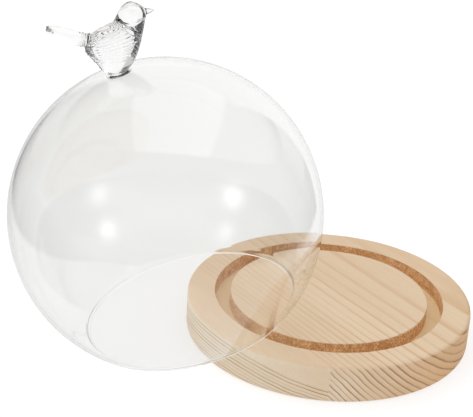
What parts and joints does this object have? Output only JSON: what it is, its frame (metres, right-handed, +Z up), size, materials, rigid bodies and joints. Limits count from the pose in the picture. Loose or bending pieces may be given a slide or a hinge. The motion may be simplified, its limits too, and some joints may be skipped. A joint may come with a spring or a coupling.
{
  "type": "bell jar",
  "caption": "Round clear glass cloche topped with a glass bird, leaning on the edge of its grooved round pine base, for display of small things.",
  "frame": {"origin": "centre of the wooden base's underside, at table level", "axes": "+Z up; the dome leans from the base towards -X, so X-Z is the mirror plane of the dome and its bird"},
  "size_m": [0.2911, 0.19, 0.2144],
  "materials": {
    "pine_wide": "matte",
    "pine_narrow": "matte",
    "globe_glass": "polished",
    "bird_glass": "polished"
  },
  "bodies": {
    "base": {"base_board_wide": "pine_wide", "base_board_narrow": "pine_narrow"},
    "dome": {"dome_globe": "globe_glass", "bird_weld": "bird_glass", "bird_body": "bird_glass", "bird_wing_left": "bird_glass", "bird_wing_right": "bird_glass", "bird_tail": "bird_glass"}
  },
  "joints": [
    {"name": "dome_carry", "type": "hinge", "parent": "base", "child": "dome", "pos_m": [0.09528, 0, -0.30073], "axis": [0, 1, 0], "range_deg": [0, 15]}
  ]
}
